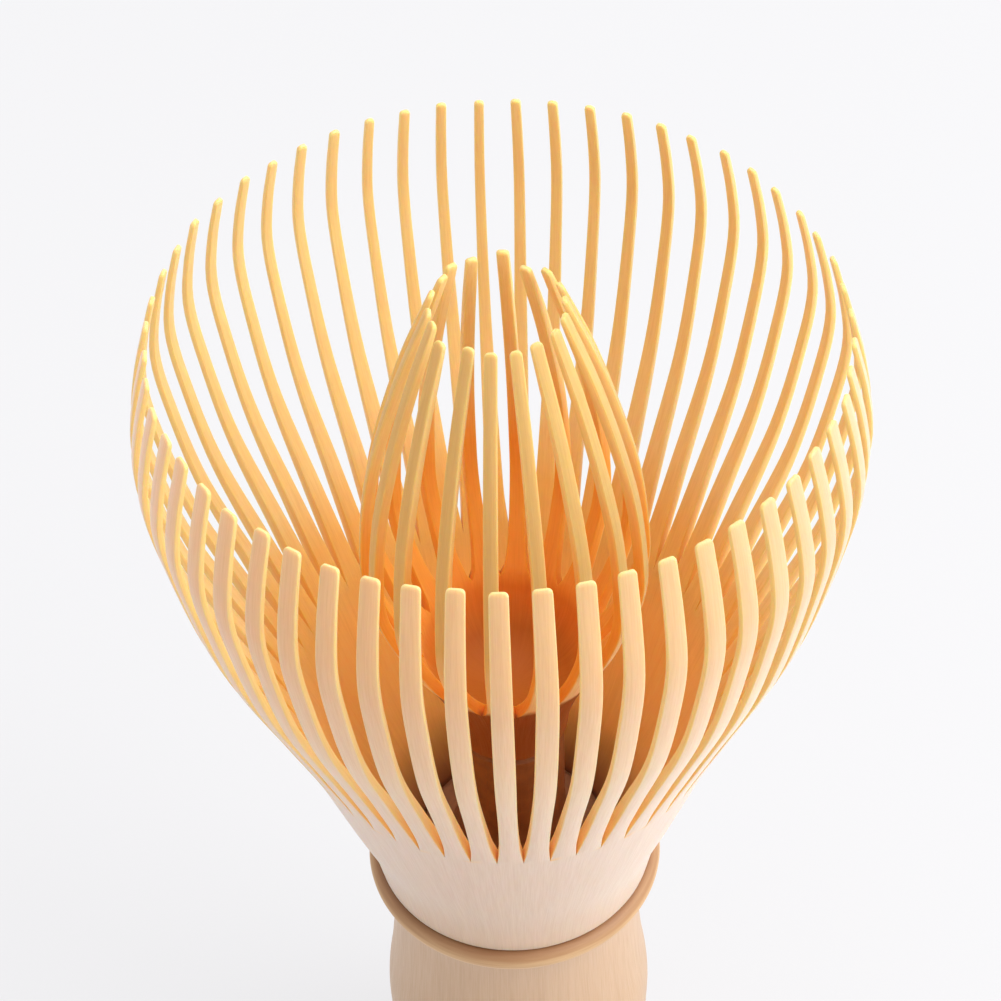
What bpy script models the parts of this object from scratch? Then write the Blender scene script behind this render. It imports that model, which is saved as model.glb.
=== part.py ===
"""A tea whisk (chasen) standing on its handle, tines up.

Metres, +Z up, origin at the centre of the handle's lower end. The angle of a point round the axis is
measured from -Y towards +X, so tine 0 of the outer ring is at the front.
"""

import math

import bmesh
import bpy
from mathutils import Vector

MM = 0.001
FIT_GAP = 0.3  # between pieces that touch, mm

# Heights above the handle's lower end, mm
RING_Z = 43.55
TIP_Z = 112.6
SLOT_Z = 67.8
SPIGOT_END_Z = 32.0
FLOOR_Z = 46.5
CUP_BOTTOM_Z = 63.0
CUP_BORE_END_Z = 66.2
CUP_TOP_Z = 73.6
BUD_TIP_Z = 115.0

# Outer tines
OUTER_TINES = 55
OUTER_STATIONS = 11
HEAD_RADIUS = [  # height, outer radius
    (45.0, 13.05),
    (50.0, 14.1),
    (56.6, 16.3),
    (68.0, 20.0),
    (77.6, 23.7),
    (87.4, 27.4),
    (97.2, 29.6),
    (102.6, 30.2),
    (107.6, 29.5),
    (112.6, 28.2),
]
HEAD_WALL = [  # height, thickness of the wall and of the tines
    (45.0, 3.6),
    (50.0, 2.7),
    (56.6, 1.8),
    (68.0, 1.3),
    (76.0, 1.05),
    (84.0, 0.78),
    (90.0, 0.62),
    (105.6, 0.55),
    (112.6, 0.40),
]
OUTER_WIDTH = [  # height, width of an outer tine
    (67.8, 2.28),
    (70.6, 1.92),
    (73.5, 1.74),
    (78.0, 1.60),
    (83.0, 1.52),
    (93.0, 1.43),
    (103.0, 1.34),
    (112.6, 1.20),
]

# Inner tines
INNER_TINES = 18
INNER_STATIONS = 12
INNER_PHASE = math.radians(-5.5)
INNER_RADIUS = [  # height, outer radius
    (73.6, 8.6),
    (76.5, 10.1),
    (79.5, 11.3),
    (83.0, 12.3),
    (86.5, 12.5),
    (94.4, 11.75),
    (101.4, 10.2),
    (108.4, 8.1),
    (115.0, 5.6),
]
INNER_WALL = [  # height, thickness of an inner tine
    (73.6, 1.5),
    (79.0, 1.2),
    (94.4, 1.0),
    (110.0, 0.8),
    (115.0, 0.4),
]
INNER_WIDTH = [  # height, width of an inner tine
    (73.6, 2.1),
    (79.0, 1.5),
    (90.0, 1.28),
    (115.0, 1.06),
]
CUP_RADIUS = 5.3
CUP_FLOOR_RADIUS = 3.4
CUP_FLOOR = 1.4
CUP_BORE = 4.2

# Post, ring and handle
POST_RADIUS = 4.9
RING_RADIUS = 13.95
RING_HEIGHT = 2.2
SPIGOT_RADIUS = 10.2
SPIGOT_BORE = 9.0
HANDLE_RADIUS = [  # height, outer radius: a neck under the ring, then a round shoulder
    (0.8, 12.7),
    (12.0, 12.8),
    (19.0, 12.95),
    (22.5, 13.05),
    (25.5, 12.85),
    (28.0, 12.5),
    (31.0, 12.2),
    (35.0, 11.9),
    (38.5, 11.75),
    (41.8, 11.9),
]
HANDLE_BORE = 8.2
HANDLE_CHAMFER = 0.8

BAMBOO = (0.80, 0.58, 0.33)
BAMBOO_PALE = (0.81, 0.64, 0.45)
NODE_TAN = (0.45, 0.26, 0.11)
POST_BROWN = (0.24, 0.10, 0.045)


def clear_scene():
    for item in list(bpy.data.objects):
        bpy.data.objects.remove(item, do_unlink=True)


def material(name, colour, roughness):
    surface = bpy.data.materials.new(name)
    surface.use_nodes = True
    shader = surface.node_tree.nodes["Principled BSDF"]
    shader.inputs["Base Color"].default_value = (*colour, 1.0)
    shader.inputs["Roughness"].default_value = roughness
    shader.inputs["Metallic"].default_value = 0.0
    return surface


def add_object(name, bm, surface, crease_angle=35.0):
    """Turns a bmesh in millimetres into an object in metres, smooth but for its sharp edges."""
    bmesh.ops.scale(bm, vec=(MM, MM, MM), verts=bm.verts)
    bmesh.ops.recalc_face_normals(bm, faces=bm.faces)
    mesh = bpy.data.meshes.new(name)
    bm.to_mesh(mesh)
    bm.free()
    mesh.shade_smooth()
    mesh.set_sharp_from_angle(angle=math.radians(crease_angle))
    mesh.materials.append(surface)
    item = bpy.data.objects.new(name, mesh)
    bpy.context.collection.objects.link(item)
    return item


def smooth(points, x):
    """The value at x of a smooth curve through (position, value) points."""
    last = len(points) - 1
    i = max(k for k in range(last) if k == 0 or points[k][0] <= x)
    x0, v0 = points[i]
    x1, v1 = points[i + 1]

    def slope(k):
        before = points[max(k - 1, 0)]
        after = points[min(k + 1, last)]
        return (after[1] - before[1]) / (after[0] - before[0])

    span = x1 - x0
    t = (x - x0) / span
    start = (2 * t**3 - 3 * t**2 + 1) * v0 + (t**3 - 2 * t**2 + t) * span * slope(i)
    end = (3 * t**2 - 2 * t**3) * v1 + (t**3 - t**2) * span * slope(i + 1)
    return start + end


def wall_section(radius, wall, z):
    """The outer and inner points (r, z) of a curved wall at height z, measured square to it."""
    step = 0.05
    low = max(z - step, radius[0][0])
    high = min(z + step, radius[-1][0])
    along = Vector((smooth(radius, high) - smooth(radius, low), high - low)).normalized()
    outer = Vector((smooth(radius, z), z))
    inward = Vector((-along.y, along.x))
    return outer, outer + inward * smooth(wall, z)


def spaced(start, stop, count):
    """count + 1 evenly spaced heights from start to stop."""
    return [start + (stop - start) * k / count for k in range(count + 1)]


def polar(radius, z, angle):
    return (radius * math.sin(angle), -radius * math.cos(angle), z)


def crown(bm, count, phase, root_width, body, tine):
    """A turned ring with tines on its top edge, as one closed body.

    body: the ring's outline (r, z), from the outer top edge down, round and up to the inner top edge.
    tine: sections above it, each (outer point, inner point, width).
    A root_width of None gives V slots, whose tines meet at the bottom. Points on the axis close it.
    """
    pitch = 2 * math.pi / count
    half_root = pitch / 2 if root_width is None else root_width / (2 * body[0][0])
    edges = []
    for i in range(count):
        middle = phase + i * pitch
        edges.append(middle - half_root)
        if root_width is not None:
            edges.append(middle + half_root)
    columns = [[bm.verts.new(polar(r, z, angle)) for r, z in body] for angle in edges]
    per_tine = len(columns) // count
    for c, here in enumerate(columns):
        beside = columns[(c + 1) % len(columns)]
        for k in range(len(body) - 1):
            if body[k][0] > 0 or body[k + 1][0] > 0:
                bm.faces.new((here[k], beside[k], beside[k + 1], here[k + 1]))
        if c % per_tine == 1:
            bm.faces.new((here[0], here[-1], beside[-1], beside[0]))
    for i in range(count):
        middle = phase + i * pitch
        left = columns[i * per_tine]
        right = columns[(i * per_tine + 1) % len(columns)]
        below = [left[0], right[0], right[-1], left[-1]]
        for outer, inner, width in tine:
            half = width / (2 * outer.x)
            corners = ((outer, -half), (outer, half), (inner, half), (inner, -half))
            above = [bm.verts.new(polar(p.x, p.y, middle + side)) for p, side in corners]
            for k in range(4):
                after = (k + 1) % 4
                bm.faces.new((below[k], below[after], above[after], above[k]))
            below = above
        bm.faces.new(below)
    bmesh.ops.remove_doubles(bm, verts=bm.verts, dist=0.0001)


def turned(name, outline, steps, surface):
    """Turns a closed outline of (r, z) points once round the Z axis."""
    bm = bmesh.new()
    verts = [bm.verts.new((r, 0.0, z)) for r, z in outline]
    pairs = zip(verts, verts[1:] + verts[:1])
    edges = [bm.edges.new(pair) for pair in pairs if any(v.co.x > 0 for v in pair)]
    bmesh.ops.spin(
        bm,
        geom=verts + edges,
        cent=(0, 0, 0),
        axis=(0, 0, 1),
        angle=2 * math.pi,
        steps=steps,
        use_merge=True,
    )
    bmesh.ops.remove_doubles(bm, verts=bm.verts, dist=0.0001)
    return add_object(name, bm, surface)


def make_outer_head():
    """The flared cone with its ring of outer tines, and the spigot that enters the handle."""
    bottom = RING_Z + RING_HEIGHT / 2 + FIT_GAP
    heights = spaced(SLOT_Z, bottom, 5)
    sections = [wall_section(HEAD_RADIUS, HEAD_WALL, max(z, HEAD_RADIUS[0][0])) for z in heights]
    outside = [(outer.x, z) for (outer, _), z in zip(sections, heights)]
    inside = [tuple(inner) for _, inner in sections if inner.y > FLOOR_Z + 2.0]
    spigot = [
        (SPIGOT_RADIUS, bottom),
        (SPIGOT_RADIUS, SPIGOT_END_Z),
        (SPIGOT_BORE, SPIGOT_END_Z),
        (SPIGOT_BORE, FLOOR_Z),
    ]
    tine = [
        (*wall_section(HEAD_RADIUS, HEAD_WALL, z), smooth(OUTER_WIDTH, z))
        for z in spaced(SLOT_Z, TIP_Z, OUTER_STATIONS)[1:]
    ]
    bm = bmesh.new()
    crown(bm, OUTER_TINES, 0.0, None, outside + spigot + inside[::-1], tine)
    return add_object("outer_tine_head", bm, material("bamboo_head", BAMBOO_PALE, 0.45))


def make_inner_cluster():
    """The bud of inner tines that lean together at the top, on a cup with a blind bore below."""
    outer, inner = wall_section(INNER_RADIUS, INNER_WALL, CUP_TOP_Z)
    floor = CUP_BORE_END_Z + CUP_FLOOR
    depth = CUP_TOP_Z - CUP_BOTTOM_Z
    flare = outer.x - CUP_RADIUS
    body = [
        tuple(outer),
        (CUP_RADIUS + flare * 0.57, CUP_TOP_Z - depth * 0.28),
        (CUP_RADIUS + flare * 0.20, CUP_TOP_Z - depth * 0.60),
        (CUP_RADIUS, CUP_BOTTOM_Z + 0.5),
        (CUP_RADIUS - 0.5, CUP_BOTTOM_Z),
        (CUP_BORE, CUP_BOTTOM_Z),
        (CUP_BORE, CUP_BORE_END_Z),
        (0.0, CUP_BORE_END_Z),
        (0.0, floor),
        (CUP_FLOOR_RADIUS, floor),
        (CUP_FLOOR_RADIUS + 2.0, floor + 1.6),
        (inner.x - 0.5, CUP_TOP_Z - 1.4),
        tuple(inner),
    ]
    tine = [
        (*wall_section(INNER_RADIUS, INNER_WALL, z), smooth(INNER_WIDTH, z))
        for z in spaced(CUP_TOP_Z, BUD_TIP_Z, INNER_STATIONS)[1:]
    ]
    bm = bmesh.new()
    crown(bm, INNER_TINES, INNER_PHASE, smooth(INNER_WIDTH, CUP_TOP_Z), body, tine)
    return add_object("inner_tine_cluster", bm, material("bamboo_bud", BAMBOO, 0.45))


def make_core_post():
    """The post that carries the bud: a plug in the head's bore, a waist and a spigot in the bud's cup."""
    plug_radius = SPIGOT_BORE - FIT_GAP
    top = CUP_BOTTOM_Z - FIT_GAP
    spigot_top = CUP_BORE_END_Z - FIT_GAP
    outline = [
        (0.0, SPIGOT_END_Z),
        (plug_radius - 0.5, SPIGOT_END_Z),
        (plug_radius, SPIGOT_END_Z + 0.5),
        (plug_radius, FLOOR_Z - 0.5),
        (plug_radius - 0.5, FLOOR_Z),
        (POST_RADIUS + 1.0, FLOOR_Z + 0.6),
        (POST_RADIUS + 0.3, FLOOR_Z + 2.2),
        (POST_RADIUS, FLOOR_Z + 5.0),
        (POST_RADIUS, top - 0.4),
        (POST_RADIUS - 0.4, top),
        (CUP_BORE - FIT_GAP, top),
        (CUP_BORE - FIT_GAP, spigot_top - 0.5),
        (CUP_BORE - FIT_GAP - 0.5, spigot_top),
        (0.0, spigot_top),
    ]
    return turned("core_post", outline, 40, material("post_brown", POST_BROWN, 0.6))


def make_node_ring():
    """The thin raised ring between the cone and the handle, round on its outside."""
    inner = SPIGOT_RADIUS + FIT_GAP
    half = RING_HEIGHT / 2
    middle = RING_RADIUS - half
    arc = [math.radians(a) for a in range(-90, 91, 30)]
    outline = [(middle + half * math.cos(a), RING_Z + half * math.sin(a)) for a in arc]
    outline += [(inner, RING_Z + half), (inner, RING_Z - half)]
    return turned("node_ring", outline, 64, material("node_tan", NODE_TAN, 0.55))


def make_handle():
    """The round grip: a tube open below, with a stepped bore for the head's spigot and the plug."""
    top = RING_Z - RING_HEIGHT / 2 - FIT_GAP
    step = SPIGOT_END_Z - FIT_GAP
    outline = [(HANDLE_RADIUS[0][1] - HANDLE_CHAMFER, 0.0)]
    outline += [(radius, z) for z, radius in HANDLE_RADIUS]
    outline += [
        (HANDLE_RADIUS[-1][1] - (top - HANDLE_RADIUS[-1][0]), top),
        (SPIGOT_RADIUS + FIT_GAP, top),
        (SPIGOT_RADIUS + FIT_GAP, step),
        (HANDLE_BORE, step),
        (HANDLE_BORE, HANDLE_CHAMFER),
        (HANDLE_BORE + HANDLE_CHAMFER, 0.0),
    ]
    return turned("handle", outline, 64, material("bamboo_handle", BAMBOO_PALE, 0.45))


def main():
    clear_scene()
    root = bpy.data.objects.new("tea_whisk", None)
    bpy.context.collection.objects.link(root)
    makers = (make_handle, make_node_ring, make_core_post, make_outer_head, make_inner_cluster)
    for make in makers:
        make().parent = root


main()
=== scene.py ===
"""Looks of the bamboo tea whisk: fine meshes, bamboo materials, light and camera.

Shapes are worked out in millimetres and turned into metres as each mesh is made. An angle round the
axis is measured from -Y towards +X, as in the CAD model, so outer tine 0 is at the front.
"""

import math
import random

import bmesh
import bpy
from mathutils import Matrix, Vector


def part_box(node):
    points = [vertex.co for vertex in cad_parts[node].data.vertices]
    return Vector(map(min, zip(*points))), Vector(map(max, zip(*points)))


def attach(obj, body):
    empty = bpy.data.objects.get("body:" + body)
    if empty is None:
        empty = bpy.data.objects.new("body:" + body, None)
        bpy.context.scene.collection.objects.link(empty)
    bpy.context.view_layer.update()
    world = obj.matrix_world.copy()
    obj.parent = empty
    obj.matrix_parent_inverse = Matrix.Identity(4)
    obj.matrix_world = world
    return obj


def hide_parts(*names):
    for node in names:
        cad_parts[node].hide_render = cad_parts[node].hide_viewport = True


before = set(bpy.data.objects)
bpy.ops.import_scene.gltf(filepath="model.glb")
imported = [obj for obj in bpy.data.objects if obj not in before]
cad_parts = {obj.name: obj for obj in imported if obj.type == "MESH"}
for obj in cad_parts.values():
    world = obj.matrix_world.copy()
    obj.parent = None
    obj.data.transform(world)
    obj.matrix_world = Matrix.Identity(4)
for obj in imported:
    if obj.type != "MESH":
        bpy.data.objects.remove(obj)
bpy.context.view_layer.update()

MM = 0.001
SEED = 7

# Heights that the pieces share, mm, from the CAD nodes' own boxes
RING_LOW, RING_HIGH = (corner.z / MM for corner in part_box("node_ring"))
HEAD_LOW, TIP_Z = (corner.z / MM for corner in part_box("outer_tine_head"))
HANDLE_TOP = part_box("handle")[1].z / MM
BUD_LOW, BUD_TIP_Z = (corner.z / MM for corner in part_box("inner_tine_cluster"))

# The head: a cone that is split into tines above SLOT_Z
OUTER_TINES = 55
SLOT_Z = 67.8
FLOOR_Z = 46.5
FLOOR_BEVEL = 2.0
CONE_ROWS = 26
FIT_GAP = 0.3
HEAD_RADIUS = [  # height, outer radius
    (45.0, 13.05),
    (50.0, 14.1),
    (56.6, 16.3),
    (68.0, 20.0),
    (77.6, 23.7),
    (87.4, 27.4),
    (97.2, 29.6),
    (102.6, 30.2),
    (107.6, 29.5),
    (112.6, 28.2),
]
HEAD_WALL = [  # height, thickness of the wall and of the tines
    (45.0, 3.6),
    (50.0, 2.7),
    (56.6, 1.8),
    (68.0, 1.3),
    (76.0, 1.05),
    (84.0, 0.78),
    (90.0, 0.62),
    (105.6, 0.55),
    (112.6, 0.45),
]
OUTER_WIDTH = [  # height, width of an outer tine
    (67.8, 2.285),
    (70.6, 1.92),
    (73.5, 1.74),
    (78.0, 1.60),
    (83.0, 1.52),
    (93.0, 1.43),
    (103.0, 1.34),
    (112.6, 1.20),
]
TINE_UNEVENNESS = [  # height, share by which the front tines are broader and the back tines narrower
    (67.8, 0.0),
    (73.0, 0.0),
    (78.0, 0.03),
    (83.0, 0.10),
    (88.0, 0.19),
    (98.0, 0.27),
    (112.6, 0.26),
]

# The bud: inner tines that lean together, on a cup
INNER_TINES = 18
INNER_PHASE = math.radians(-5.5)
CUP_TOP_Z = 73.6
CUP_FLOOR_Z = 67.6
INNER_RADIUS = [  # height, outer radius
    (73.6, 8.6),
    (76.5, 10.1),
    (79.5, 11.3),
    (83.0, 12.3),
    (86.5, 12.5),
    (94.4, 11.75),
    (101.4, 10.2),
    (108.4, 8.1),
    (115.0, 5.6),
]
INNER_WALL = [  # height, thickness of an inner tine
    (73.6, 1.1),
    (79.0, 1.05),
    (94.4, 0.95),
    (110.0, 0.8),
    (115.0, 0.5),
]
INNER_WIDTH = [  # height, width of an inner tine
    (73.6, 3.0),
    (74.6, 2.1),
    (79.0, 1.5),
    (90.0, 1.28),
    (115.0, 1.06),
]
BUD_LEAN = {  # inner tines whose tips stand off the regular ring: mm anticlockwise, mm outwards
    8: (0.0, -0.5),
    9: (0.0, 0.7),
    10: (0.75, 0.5),
    11: (0.35, 0.6),
    16: (-0.1, 0.8),
}

SPIGOT_RADIUS = 10.2
SPIGOT_BORE = 9.0
CUP_RADIUS = 5.3
CUP_FLARE_POWER = 1.6
CUP_EDGE = 0.5
CUP_BORE = 4.2
CUP_BORE_END_Z = 66.2
RING_RADIUS = 13.95
HANDLE_RADIUS = [  # height, outer radius: a neck under the ring, then a round shoulder
    (0.0, 12.7),
    (12.0, 12.8),
    (19.0, 12.95),
    (22.5, 13.05),
    (25.5, 12.85),
    (28.0, 12.5),
    (31.0, 12.2),
    (35.0, 11.9),
    (38.5, 11.75),
    (42.15, 11.9),
]
HANDLE_BORE = 8.2
HANDLE_CHAMFER = 0.8
HANDLE_TOP_EDGE = 0.5
HANDLE_ROWS = 40

# Tines: rounding and the spread of the small differences between them, mm
TIP_CAP = 0.42  # height of the rounded tip
TIP_ROUNDING = 0.36  # most that the tip closes in on each side
ROOT_BLEND = 3.0  # height over which a tine frees itself from the wall
OUTER_CORNER = 0.13
INNER_CORNER = 0.15
OUTER_STATIONS = 36  # rows of points along a tine
INNER_STATIONS = 40
SPREAD_ASIDE = 0.10
SPREAD_OUTWARD = 0.08
SPREAD_BOW = 0.07
SPREAD_BREADTH = 0.025  # a share
SPREAD_CUT = 0.12


def smooth(points, x):
    """The value at x of a smooth curve through (position, value) points."""
    last = len(points) - 1
    i = max(k for k in range(last) if k == 0 or points[k][0] <= x)
    x0, v0 = points[i]
    x1, v1 = points[i + 1]

    def slope(k):
        before = points[max(k - 1, 0)]
        after = points[min(k + 1, last)]
        return (after[1] - before[1]) / (after[0] - before[0])

    span = x1 - x0
    t = (x - x0) / span
    start = (2 * t**3 - 3 * t**2 + 1) * v0 + (t**3 - 2 * t**2 + t) * span * slope(i)
    end = (3 * t**2 - 2 * t**3) * v1 + (t**3 - t**2) * span * slope(i + 1)
    return start + end


def wall_frame(radius, z):
    """The outer point (r, z) of a curved wall at height z, and the direction into the wall there."""
    step = 0.05
    low = max(z - step, radius[0][0])
    high = min(z + step, radius[-1][0])
    along = Vector((smooth(radius, high) - smooth(radius, low), high - low)).normalized()
    return Vector((smooth(radius, z), z)), Vector((-along.y, along.x))


def fibre_point(reference, angle, height, depth=0.0):
    """Where a point lies in the unbent wall: a straight tube of radius reference with upright fibres."""
    r = reference - depth
    return (r * math.sin(angle), -r * math.cos(angle), height)


class Skin:
    """A mesh under construction, with what the materials need at each point.

    grain: the fibre_point, in mm, so that fibres run along each tine.
    flesh: 0 on the outer skin, 1 on the inside of the wall.
    """

    def __init__(self):
        self.bm = bmesh.new()
        self.grain = self.bm.verts.layers.float_vector.new("grain")
        self.flesh = self.bm.verts.layers.float.new("flesh")

    def point(self, r, z, angle, grain, flesh):
        x, y = r * math.sin(angle), -r * math.cos(angle)
        vert = self.bm.verts.new((x * MM, y * MM, z * MM))
        vert[self.grain] = grain
        vert[self.flesh] = flesh
        return vert

    def strip(self, low, high):
        """Faces between two closed rows of the same number of points."""
        count = len(low)
        for k in range(count):
            after = (k + 1) % count
            self.bm.faces.new((low[k], low[after], high[after], high[k]))

    def finish(self, name, material, crease_angle=40.0):
        bmesh.ops.remove_doubles(self.bm, verts=self.bm.verts, dist=2e-6)
        bmesh.ops.recalc_face_normals(self.bm, faces=self.bm.faces)
        mesh = bpy.data.meshes.new(name)
        self.bm.to_mesh(mesh)
        self.bm.free()
        mesh.shade_smooth()
        mesh.set_sharp_from_angle(angle=math.radians(crease_angle))
        mesh.materials.append(material)
        item = bpy.data.objects.new(name, mesh)
        bpy.context.collection.objects.link(item)
        return item


def rounded_section(half, thickness, corner):
    """Points (across, into the wall, flesh) round a tine's section, from the outer left corner."""
    arcs = (
        (-1, corner, 180, 90),
        (1, corner, 90, 0),
        (1, thickness - corner, 0, -90),
        (-1, thickness - corner, -90, -180),
    )
    middles = ((0.0, 0.0), (half, thickness / 2), (0.0, thickness), (-half, thickness / 2))
    points = []
    for (side, depth, start, stop), middle in zip(arcs, middles):
        for step in range(3):
            a = math.radians(start + (stop - start) * step / 2)
            points.append((side * (half - corner) + corner * math.cos(a), depth - corner * math.sin(a)))
        points.append(middle)
    return [(s, t, min(1.0, t / (0.6 * corner))) for s, t in points]


def tine(skin, middle, shape, ends, corner, stations, rng, lean=(0, 0), unevenness=None):
    """One tine from its root to its rounded tip. Small random lean, bow and width make each its own.

    middle is its angle round the axis, shape its (radius, wall, width) tables, ends its (root, tip) heights.
    """
    radius, wall, width = shape
    root, tip = ends
    reference = smooth(radius, root)
    frontness = math.sin(math.pi / 2 * max(-1.0, min(1.0, 1.5 * math.cos(middle))))
    aside = lean[0] + rng.gauss(0, SPREAD_ASIDE)
    outward = lean[1] + rng.gauss(0, SPREAD_OUTWARD)
    bow = rng.gauss(0, SPREAD_BOW)
    broad = 1 + rng.gauss(0, SPREAD_BREADTH)
    cut = rng.gauss(0, SPREAD_CUT)
    top = min(tip + cut, tip)
    cap_base = top - TIP_CAP
    heights = [root + (cap_base - root) * (k / stations) ** 1.1 for k in range(stations + 1)]
    heights += [top - TIP_CAP * (1 - math.sin(math.radians(a))) for a in (25, 50, 70, 84)]
    rows = []
    for z in heights:
        up = (z - root) / (tip - root)
        free = min(1.0, (z - root) / ROOT_BLEND)
        outer, inward = wall_frame(radius, z)
        uneven = smooth(unevenness, z) * frontness if unevenness else 0.0
        half = smooth(width, z) / 2 * (1 + (broad - 1) * free) * (1 + uneven)
        thick = smooth(wall, z)
        round_off = max(0.0, (z - (top - TIP_CAP)) / TIP_CAP)
        closing = 1 - math.sqrt(max(0.0, 1 - round_off**2))
        half -= closing * min(TIP_ROUNDING, half * 0.8)
        sink = closing * thick * 0.3
        thick -= 2 * sink
        edge = min(corner * free + 1e-5, thick * 0.45, half * 0.9)
        outer.x += outward * up**2
        sway = (aside * up**2 + bow * math.sin(math.pi * up) * free) / outer.x
        row = []
        for s, t, flesh in rounded_section(half, thick, edge):
            p = outer + inward * (t + sink)
            grain = fibre_point(reference, middle + s / reference, z, t)
            row.append(skin.point(p.x, p.y, middle + s / outer.x + sway, grain, flesh))
        rows.append(row)
    for low, high in zip(rows, rows[1:]):
        skin.strip(low, high)
    skin.bm.faces.new(rows[-1])


def wall_rows(skin, count, phase, reference, outline):
    """The turned wall below the tines, from its outer top edge down, round and up to its inner top edge."""
    pitch = 2 * math.pi / count
    angles = [phase + (k - 1) * pitch / 2 for k in range(2 * count)]
    rows = []
    for r, z, flesh in outline:
        if r == 0:
            rows.append([skin.point(0, z, 0, (0, 0, z), flesh)] * len(angles))
        else:
            row = [skin.point(r, z, a, fibre_point(reference, a, z, flesh), flesh) for a in angles]
            rows.append(row)
    for high, low in zip(rows, rows[1:]):
        for k in range(len(angles)):
            after = (k + 1) % len(angles)
            corners = [high[k], high[after], low[after], low[k]]
            unique = list(dict.fromkeys(corners))
            if len(unique) > 2:
                skin.bm.faces.new(unique)


def spaced(start, stop, count):
    return [start + (stop - start) * k / count for k in range(count + 1)]


def make_outer_head(material):
    skin = Skin()
    rng = random.Random(SEED)
    shape = (HEAD_RADIUS, HEAD_WALL, OUTER_WIDTH)
    ends = (SLOT_Z, TIP_Z)
    for i in range(OUTER_TINES):
        middle = i * 2 * math.pi / OUTER_TINES
        tine(skin, middle, shape, ends, OUTER_CORNER, OUTER_STATIONS, rng, unevenness=TINE_UNEVENNESS)
    bottom = RING_HIGH + FIT_GAP
    outside = []
    inside = []
    for z in spaced(SLOT_Z, bottom, CONE_ROWS):
        outer, inward = wall_frame(HEAD_RADIUS, max(z, HEAD_RADIUS[0][0]))
        inner = outer + inward * smooth(HEAD_WALL, max(z, HEAD_RADIUS[0][0]))
        outside.append((outer.x, z, 0.0))
        if inner.y > FLOOR_Z + FLOOR_BEVEL:
            inside.append((inner.x, inner.y, 1.0))
    spigot = [
        (SPIGOT_RADIUS, bottom, 0.6),
        (SPIGOT_RADIUS, HEAD_LOW, 0.6),
        (SPIGOT_BORE, HEAD_LOW, 1.0),
        (SPIGOT_BORE, FLOOR_Z, 1.0),
    ]
    wall_rows(skin, OUTER_TINES, 0.0, smooth(HEAD_RADIUS, SLOT_Z), outside + spigot + inside[::-1])
    return skin.finish("head_skin", material)


def make_bud(material):
    skin = Skin()
    rng = random.Random(SEED + 1)
    shape = (INNER_RADIUS, INNER_WALL, INNER_WIDTH)
    ends = (CUP_TOP_Z, BUD_TIP_Z)
    for i in range(INNER_TINES):
        middle = INNER_PHASE + i * 2 * math.pi / INNER_TINES
        tine(skin, middle, shape, ends, INNER_CORNER, INNER_STATIONS, rng, BUD_LEAN.get(i, (0, 0)))
    outer, inward = wall_frame(INNER_RADIUS, CUP_TOP_Z)
    inner = outer + inward * smooth(INNER_WALL, CUP_TOP_Z)
    depth = CUP_TOP_Z - BUD_LOW
    flare = outer.x - CUP_RADIUS
    cup = [(outer.x, CUP_TOP_Z, 0.0)]
    for k in range(1, 13):
        u = k / 12
        r = CUP_RADIUS + flare * (1 - u) ** CUP_FLARE_POWER
        cup.append((r, CUP_TOP_Z - (depth - CUP_EDGE) * u, 0.0))
    cup += [
        (CUP_RADIUS - CUP_EDGE, BUD_LOW, 0.5),
        (CUP_BORE, BUD_LOW, 0.8),
        (CUP_BORE, CUP_BORE_END_Z, 0.8),
        (0.0, CUP_BORE_END_Z, 0.8),
        (0.0, CUP_FLOOR_Z, 1.0),
    ]
    for k in range(1, 9):
        a = math.radians(90 * k / 8)
        z = CUP_FLOOR_Z + (inner.y - CUP_FLOOR_Z) * (1 - math.cos(a))
        cup.append((inner.x * math.sin(a), z, 1.0))
    wall_rows(skin, INNER_TINES, INNER_PHASE, smooth(INNER_RADIUS, CUP_TOP_Z), cup)
    return skin.finish("bud_skin", material)


def turned(name, outline, material, steps=160):
    """Turns a closed outline of (r, z) points round the axis."""
    skin = Skin()
    angles = [2 * math.pi * k / steps for k in range(steps)]
    reference = max(r for r, _ in outline)
    rows = []
    for r, z in outline:
        rows.append([skin.point(r, z, a, fibre_point(reference, a, z), 0.0) for a in angles])
    for low, high in zip(rows, rows[1:] + rows[:1]):
        skin.strip(low, high)
    return skin.finish(name, material, 35.0)


def make_ring(material):
    half = (RING_HIGH - RING_LOW) / 2
    centre = (RING_HIGH + RING_LOW) / 2
    inner = SPIGOT_RADIUS + FIT_GAP
    outline = []
    for k in range(13):
        a = math.radians(-90 + 15 * k)
        outline.append((RING_RADIUS - half + half * math.cos(a), centre + half * math.sin(a)))
    outline += [(inner, RING_HIGH), (inner, RING_LOW)]
    return turned("ring_skin", outline, material)


def make_handle(material):
    step = HEAD_LOW - FIT_GAP
    edge_base = HANDLE_TOP - HANDLE_TOP_EDGE
    outline = [(HANDLE_RADIUS[0][1] - HANDLE_CHAMFER, 0.0)]
    for z in spaced(HANDLE_CHAMFER, edge_base, HANDLE_ROWS):
        outline.append((smooth(HANDLE_RADIUS, z), z))
    for a in (30, 60, 90):
        lift = math.radians(a)
        r = smooth(HANDLE_RADIUS, edge_base) - HANDLE_TOP_EDGE * (1 - math.cos(lift))
        outline.append((r, HANDLE_TOP - HANDLE_TOP_EDGE * (1 - math.sin(lift))))
    outline += [
        (SPIGOT_RADIUS + FIT_GAP, HANDLE_TOP),
        (SPIGOT_RADIUS + FIT_GAP, step),
        (HANDLE_BORE, step),
        (HANDLE_BORE, HANDLE_CHAMFER),
        (HANDLE_BORE + HANDLE_CHAMFER, 0.0),
    ]
    return turned("handle_skin", outline, material)


# Materials


def rgb(r, g, b):
    return (r, g, b, 1.0)


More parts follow.
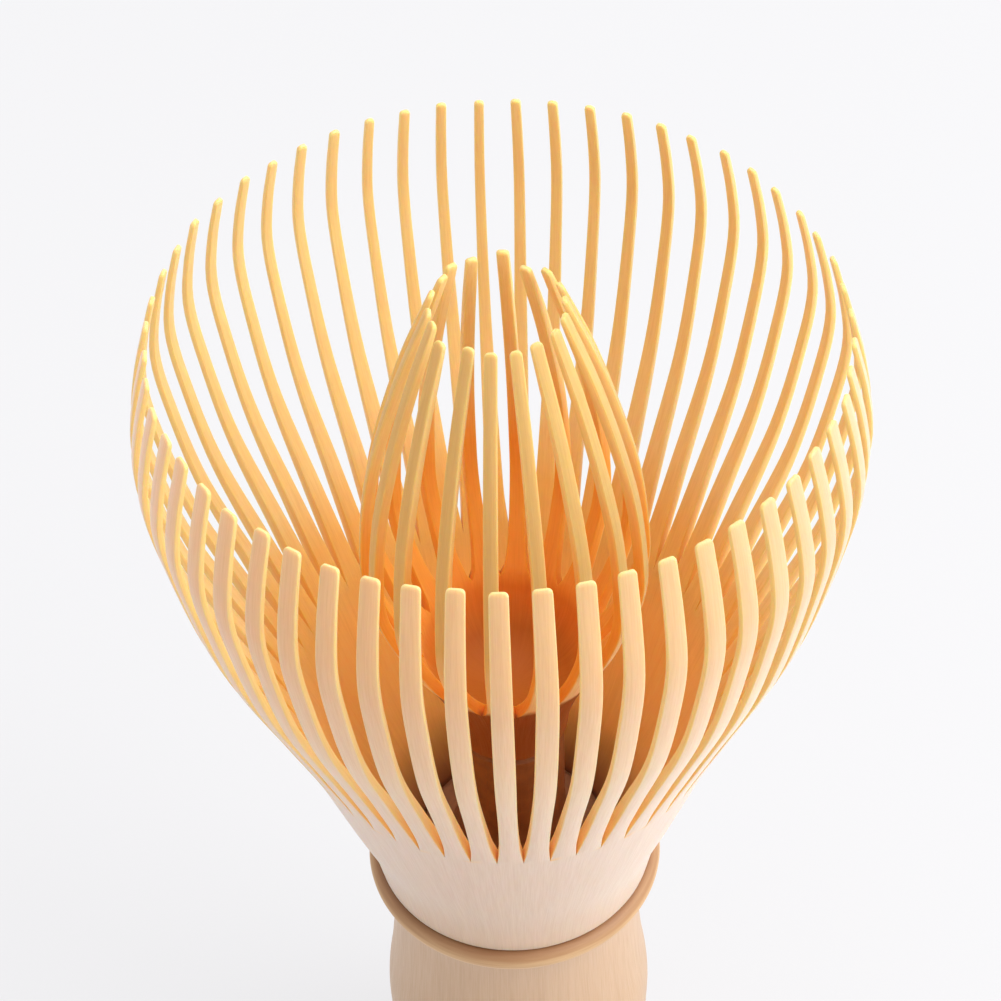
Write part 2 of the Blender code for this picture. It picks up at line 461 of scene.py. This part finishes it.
BLACK = rgb(0, 0, 0)
CREAM_LOW = rgb(0.71, 0.485, 0.325)
CREAM = rgb(0.745, 0.53, 0.38)
CREAM_GOLD = rgb(0.77, 0.555, 0.315)
GOLD = rgb(0.75, 0.49, 0.235)
ORANGE = rgb(0.85, 0.61, 0.265)
DEEP_ORANGE = rgb(0.90, 0.42, 0.08)
# painted light: a brighter amber on the head's lower inner wall, for light bounced in the hollow
PAINTED_BOUNCE_AMBER = rgb(0.95, 0.55, 0.16)
# painted light: a pale band on the roots of the bud's tines, where light falls on them
BUD_ROOT_PAINTED_LIGHT = rgb(0.97, 0.74, 0.46)
# painted shade: dark red-brown at the floor of the bud's cup
CUP_PAINTED_SHADE = rgb(0.50, 0.15, 0.02)
# painted shade and painted light: a deep red-orange for the shaded, bounce-lit inside of the bud near its
# cup
PAINTED_BOUNCE_ORANGE = rgb(0.85, 0.34, 0.06)
SLOT = rgb(0.82, 0.50, 0.15)  # the cut sides of the tines, near the end of the slots
BUD_GOLD = rgb(0.64, 0.455, 0.165)
# painted shade: dark brown at the floor of the head's hollow and on the outside of the bud's cup, where
# shade falls
PAINTED_SHADE_BROWN = rgb(0.30, 0.10, 0.035)
THROUGH = rgb(0.90, 0.36, 0.06)  # light that has passed through the thin wall
THROUGH_STRENGTH = 0.10
FIBRE_SHADE = rgb(0.72, 0.58, 0.42)
BLOTCH_SHADE = rgb(0.80, 0.74, 0.64)
SPECK_SHADE = rgb(0.55, 0.38, 0.22)
# The ring's colours by height: a painted highlight along its lower edge, its own tan in the middle, and a
# painted shadow under the head along its upper edge.
RING_PAINTED_HIGHLIGHT = rgb(0.90, 0.66, 0.42)
RING_TAN = rgb(0.74, 0.49, 0.26)
RING_PAINTED_SHADOW = rgb(0.38, 0.19, 0.085)
RING_STREAK = rgb(0.78, 0.68, 0.60)
HANDLE_SKIN = rgb(0.57, 0.375, 0.225)
HANDLE_TOP_SKIN = rgb(0.66, 0.45, 0.30)
# painted shade: the post is coloured dark brown for the shade under the bud, in two tones that change at
# random
POST_PAINTED_SHADE_DARK = rgb(0.20, 0.082, 0.034)
POST_PAINTED_SHADE_LIGHT = rgb(0.28, 0.12, 0.052)


class Nodes:
    """A short way to build a material's node tree."""

    def __init__(self, name):
        self.material = bpy.data.materials.new(name)
        self.material.use_nodes = True
        self.tree = self.material.node_tree
        self.shader = self.tree.nodes["Principled BSDF"]

    def add(self, kind, settings=None, **inputs):
        node = self.tree.nodes.new(kind)
        for key, value in (settings or {}).items():
            setattr(node, key, value)
        for key, value in inputs.items():
            self.join(value, node.inputs[key.replace("_", " ")])
        return node

    def join(self, value, socket):
        if isinstance(value, bpy.types.NodeSocket):
            self.tree.links.new(value, socket)
        else:
            socket.default_value = value

    def mix(self, factor, a, b, blend="MIX"):
        node = self.tree.nodes.new("ShaderNodeMix")
        node.data_type = "RGBA"
        node.blend_type = blend
        for value, index in ((factor, 0), (a, 6), (b, 7)):
            self.join(value, node.inputs[index])
        return node.outputs[2]

    def ramp(self, value, low, high, to_low=0.0, to_high=1.0):
        node = self.add("ShaderNodeMapRange", {"interpolation_type": "SMOOTHSTEP"}, Value=value)
        limits = (low, high, to_low, to_high)
        for key, number in zip(("From Min", "From Max", "To Min", "To Max"), limits):
            node.inputs[key].default_value = number
        return node.outputs["Result"]


def fibres(nodes, across, along, detail=4.0, seed=0.0):
    """Noise stretched along the grain: across and along are its scale per mm."""
    grain = nodes.add("ShaderNodeAttribute", {"attribute_name": "grain"}).outputs["Vector"]
    stretch = nodes.add("ShaderNodeMapping")
    nodes.join(grain, stretch.inputs["Vector"])
    stretch.inputs["Scale"].default_value = (across, across, along)
    stretch.inputs["Location"].default_value = (seed, seed * 0.71, seed * 0.37)
    noise = nodes.add("ShaderNodeTexNoise", Scale=1.0, Detail=detail, Roughness=0.6)
    nodes.join(stretch.outputs["Vector"], noise.inputs["Vector"])
    return noise.outputs["Fac"]


def by_height(nodes, stops):
    """A colour that changes smoothly with height: stops are (height in mm, colour)."""
    place = nodes.add("ShaderNodeTexCoord").outputs["Object"]
    height = nodes.add("ShaderNodeSeparateXYZ", Vector=place).outputs["Z"]
    low, high = stops[0][0], stops[-1][0]
    share = nodes.add("ShaderNodeMapRange", Value=height)
    share.inputs["From Min"].default_value = low * MM
    share.inputs["From Max"].default_value = high * MM
    ramp = nodes.add("ShaderNodeValToRGB", Fac=share.outputs["Result"])
    points = ramp.color_ramp.elements
    for z, colour in stops[1:-1]:
        points.new((z - low) / (high - low)).color = colour
    points[0].color = stops[0][1]
    points[-1].color = stops[-1][1]
    return ramp.outputs["Color"]


def skin_to_flesh(nodes, inward, numbers, socket_name):
    """Sets a socket to one number on the skin and another on the flesh, unlinked if they are the same."""
    on_skin, on_flesh = numbers
    if on_skin == on_flesh:
        nodes.shader.inputs[socket_name].default_value = on_skin
    else:
        nodes.join(nodes.ramp(inward, 0.0, 1.0, on_skin, on_flesh), nodes.shader.inputs[socket_name])


def bamboo(name, skin, flesh, specular, sheen, subsurface=0.6, glow=()):
    """Bamboo: a paler skin, a warmer inside, lengthwise fibres, slow blotches and a few specks.

    skin, flesh and glow are stops for by_height; the skin and flesh stops can hold painted shade and painted
    light; glow is the light that shines through the wall.
    specular and sheen are each a number on the skin and a number on the flesh.
    """
    nodes = Nodes(name)
    inward = nodes.add("ShaderNodeAttribute", {"attribute_name": "flesh"}).outputs["Fac"]
    skin_to_flesh(nodes, inward, specular, "Specular IOR Level")
    colour = nodes.mix(inward, by_height(nodes, skin), by_height(nodes, flesh))
    fine = fibres(nodes, 9.0, 0.25)
    broad = fibres(nodes, 1.4, 0.05, detail=3.0, seed=11.0)
    specks = fibres(nodes, 14.0, 1.2, detail=2.0, seed=23.0)
    colour = nodes.mix(nodes.ramp(fine, 0.35, 0.7, 0.0, 0.22), colour, FIBRE_SHADE, "MULTIPLY")
    colour = nodes.mix(nodes.ramp(broad, 0.35, 0.65, 0.0, 0.15), colour, BLOTCH_SHADE, "MULTIPLY")
    colour = nodes.mix(nodes.ramp(specks, 0.70, 0.80, 0.0, 0.30), colour, SPECK_SHADE, "MULTIPLY")
    nodes.join(colour, nodes.shader.inputs["Base Color"])
    rough = nodes.ramp(fine, 0.3, 0.7, 0.37, 0.55)
    nodes.join(rough, nodes.shader.inputs["Roughness"])
    relief = nodes.add("ShaderNodeBump", Height=fine, Strength=0.25, Distance=0.00006)
    nodes.join(relief.outputs["Normal"], nodes.shader.inputs["Normal"])
    if glow:
        through = nodes.mix(inward, BLACK, by_height(nodes, glow))
        nodes.join(through, nodes.shader.inputs["Emission Color"])
        nodes.shader.inputs["Emission Strength"].default_value = THROUGH_STRENGTH
    nodes.shader.inputs["Subsurface Weight"].default_value = subsurface
    nodes.shader.inputs["Subsurface Radius"].default_value = (1.0, 0.45, 0.14)
    nodes.shader.inputs["Subsurface Scale"].default_value = 0.002
    skin_to_flesh(nodes, inward, sheen, "Sheen Weight")
    nodes.shader.inputs["Sheen Roughness"].default_value = 0.5
    return nodes.material


# The post's material: painted shade, a dark brown with a random tone.
def painted_shade_post():
    nodes = Nodes("post_brown")
    place = nodes.add("ShaderNodeTexCoord").outputs["Object"]
    noise = nodes.add("ShaderNodeTexNoise", Vector=place, Scale=900.0, Detail=5.0).outputs["Fac"]
    colour = nodes.mix(nodes.ramp(noise, 0.3, 0.7), POST_PAINTED_SHADE_DARK, POST_PAINTED_SHADE_LIGHT)
    nodes.join(colour, nodes.shader.inputs["Base Color"])
    nodes.join(nodes.ramp(noise, 0.3, 0.7, 0.5, 0.75), nodes.shader.inputs["Roughness"])
    relief = nodes.add("ShaderNodeBump", Height=noise, Strength=0.2, Distance=0.0001)
    nodes.join(relief.outputs["Normal"], nodes.shader.inputs["Normal"])
    return nodes.material


def tan_ring():
    nodes = Nodes("node_tan")
    place = nodes.add("ShaderNodeTexCoord").outputs["Object"]
    rings = nodes.add("ShaderNodeMapping")
    nodes.join(place, rings.inputs["Vector"])
    rings.inputs["Scale"].default_value = (120.0, 120.0, 2600.0)
    noise = nodes.add("ShaderNodeTexNoise", Scale=1.0, Detail=6.0)
    nodes.join(rings.outputs["Vector"], noise.inputs["Vector"])
    streak = noise.outputs["Fac"]
    middle = (RING_LOW + RING_HIGH) / 2
    # painted highlight at the lower edge and painted shadow at the upper edge, over the ring's own tan
    painted_light_and_shade_band = by_height(nodes, [(RING_LOW, RING_PAINTED_HIGHLIGHT), (middle, RING_TAN), (RING_HIGH, RING_PAINTED_SHADOW)])
    streaked = nodes.mix(1.0, painted_light_and_shade_band, RING_STREAK, "MULTIPLY")
    colour = nodes.mix(nodes.ramp(streak, 0.3, 0.7), streaked, painted_light_and_shade_band)
    nodes.join(colour, nodes.shader.inputs["Base Color"])
    nodes.join(nodes.ramp(streak, 0.3, 0.7, 0.45, 0.65), nodes.shader.inputs["Roughness"])
    relief = nodes.add("ShaderNodeBump", Height=streak, Strength=0.35, Distance=0.0001)
    nodes.join(relief.outputs["Normal"], nodes.shader.inputs["Normal"])
    return nodes.material


# Stage: the floor glows a little, so that it stays white under soft light; distances in metres
FLOOR_HALF = 3.0
FLOOR_GREY = rgb(0.18, 0.18, 0.182)
FLOOR_GLOW = rgb(0.985, 0.98, 1.0)
FLOOR_GLOW_STRENGTH = 0.654
SKY = rgb(0.99, 0.99, 1.0)
SKY_STRENGTH = 0.70
LIGHT_TARGET = (0.0, 0.0, 0.08)
LIGHTS = [  # name, place, side of the square lamp, watts
    ("key_right", (0.52, -0.10, 0.50), 0.6, 5.0),
    ("top", (0.0, 0.15, 0.9), 0.8, 4.4),
]


def make_floor():
    bm = bmesh.new()
    bmesh.ops.create_grid(bm, x_segments=2, y_segments=2, size=FLOOR_HALF)
    mesh = bpy.data.meshes.new("floor")
    bm.to_mesh(mesh)
    bm.free()
    floor = bpy.data.objects.new("floor", mesh)
    bpy.context.collection.objects.link(floor)
    nodes = Nodes("floor_white")
    nodes.shader.inputs["Base Color"].default_value = FLOOR_GREY
    nodes.shader.inputs["Emission Color"].default_value = FLOOR_GLOW
    nodes.shader.inputs["Emission Strength"].default_value = FLOOR_GLOW_STRENGTH
    nodes.shader.inputs["Roughness"].default_value = 0.9
    nodes.shader.inputs["Specular IOR Level"].default_value = 0.1
    mesh.materials.append(nodes.material)


def add_area(name, place, size, power):
    """A square lamp that shines at LIGHT_TARGET."""
    light = bpy.data.lights.new(name, "AREA")
    light.shape = "SQUARE"
    light.size = size
    light.energy = power
    item = bpy.data.objects.new(name, light)
    item.location = place
    item.rotation_euler = (Vector(LIGHT_TARGET) - Vector(place)).to_track_quat("-Z", "Y").to_euler()
    bpy.context.collection.objects.link(item)


def light_scene():
    world = bpy.data.worlds.new("studio")
    world.use_nodes = True
    sky = world.node_tree.nodes["Background"]
    sky.inputs["Color"].default_value = SKY
    sky.inputs["Strength"].default_value = SKY_STRENGTH
    bpy.context.scene.world = world
    for name, place, size, power in LIGHTS:
        add_area(name, place, size, power)
    bpy.context.scene.view_settings.view_transform = "Standard"


# Camera: aimed near the tips' centre; angles in radians, the distance in units of the tip ring's radius
TIP_RING_RADIUS = 28.0
CAMERA_ELEVATION = 0.7617
CAMERA_DISTANCE = 8.4957
CAMERA_AZIMUTH = math.radians(1.15)
CAMERA_PAN, CAMERA_TILT, CAMERA_ROLL = 0.001, -0.0585, -0.0321
CAMERA_LENS = 107.74


def place_camera():
    distance = CAMERA_DISTANCE * TIP_RING_RADIUS * MM
    offset = Vector((0, -math.cos(CAMERA_ELEVATION), math.sin(CAMERA_ELEVATION))) * distance
    forward = -offset.normalized()
    right = Vector((1, 0, 0))
    up = right.cross(forward)
    pan = Matrix.Rotation(CAMERA_PAN, 3, up)
    forward, right = pan @ forward, pan @ right
    forward = Matrix.Rotation(CAMERA_TILT, 3, right) @ forward
    up = right.cross(forward)
    roll = Matrix.Rotation(-CAMERA_ROLL, 3, forward)
    right, up = roll @ right, roll @ up
    pose = Matrix((right, up, -forward)).transposed().to_4x4()
    pose.translation = offset + Vector((0, 0, TIP_Z * MM))
    camera = bpy.data.objects.new("camera", bpy.data.cameras.new("camera"))
    camera.data.sensor_width = 36.0
    camera.data.lens = CAMERA_LENS
    camera.data.clip_start = 0.01
    camera.matrix_world = Matrix.Rotation(CAMERA_AZIMUTH, 4, "Z") @ pose
    bpy.context.collection.objects.link(camera)
    bpy.context.scene.camera = camera


head_material = bamboo(
    "bamboo_head",
    skin=[(50.0, CREAM_LOW), (66.0, CREAM), (86.0, CREAM_GOLD), (100.0, GOLD), (112.0, GOLD)],
    # The inside of the head: painted shade at the floor of the hollow, a brighter painted amber for light
    # bounced in the hollow, then the flesh's own colours at the slots and up the tines.
    flesh=[
        (46.0, PAINTED_SHADE_BROWN),
        (52.0, PAINTED_BOUNCE_AMBER),
        (64.0, PAINTED_BOUNCE_AMBER),
        (68.0, SLOT),
        (73.0, SLOT),
        (79.0, ORANGE),
        (112.0, ORANGE),
    ],
    specular=(0.4, 0.12),
    sheen=(0.45, 0.1125),
    glow=[(46.0, BLACK), (52.0, BLACK), (58.0, THROUGH), (70.0, THROUGH), (78.0, BLACK), (112.0, BLACK)],
)
bud_material = bamboo(
    "bamboo_bud",
    # The outside of the bud: painted shade on its cup under the tines, a painted band of light on the tines'
    # roots, then its own gold.
    skin=[(70.0, PAINTED_SHADE_BROWN), (74.0, PAINTED_SHADE_BROWN), (75.6, BUD_ROOT_PAINTED_LIGHT), (79.0, BUD_ROOT_PAINTED_LIGHT), (86.0, BUD_GOLD), (115.0, BUD_GOLD)],
    # The inside of the bud: its own warmer flesh, painted darker towards the floor of the cup for the shade
    # there, and painted deep orange for light bounced inside it.
    flesh=[
        (66.0, CUP_PAINTED_SHADE),
        (69.5, CUP_PAINTED_SHADE),
        (74.0, PAINTED_BOUNCE_ORANGE),
        (79.0, DEEP_ORANGE),
        (88.0, DEEP_ORANGE),
        (100.0, ORANGE),
        (115.0, ORANGE),
    ],
    specular=(0.4, 0.12),
    sheen=(0.0, 0.0),
)
handle_material = bamboo(
    "bamboo_handle",
    skin=[(0.0, HANDLE_SKIN), (22.0, HANDLE_SKIN), (44.0, HANDLE_TOP_SKIN)],
    flesh=[(0.0, DEEP_ORANGE), (44.0, DEEP_ORANGE)],
    specular=(0.4, 0.4),
    sheen=(0.12, 0.12),
    subsurface=0.1,
)

pieces = [
    (make_outer_head(head_material), "outer_tine_head", "bamboo_head"),
    (make_bud(bud_material), "inner_tine_cluster", "bamboo_bud"),
    (make_ring(tan_ring()), "node_ring", "node_tan"),
    (make_handle(handle_material), "handle", "bamboo_handle"),
]
for piece, node, slot in pieces:
    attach(piece, "root")
    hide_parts(node)

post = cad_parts["core_post"]
post.data.materials.clear()
post.data.materials.append(painted_shade_post())

make_floor()
light_scene()
place_camera()
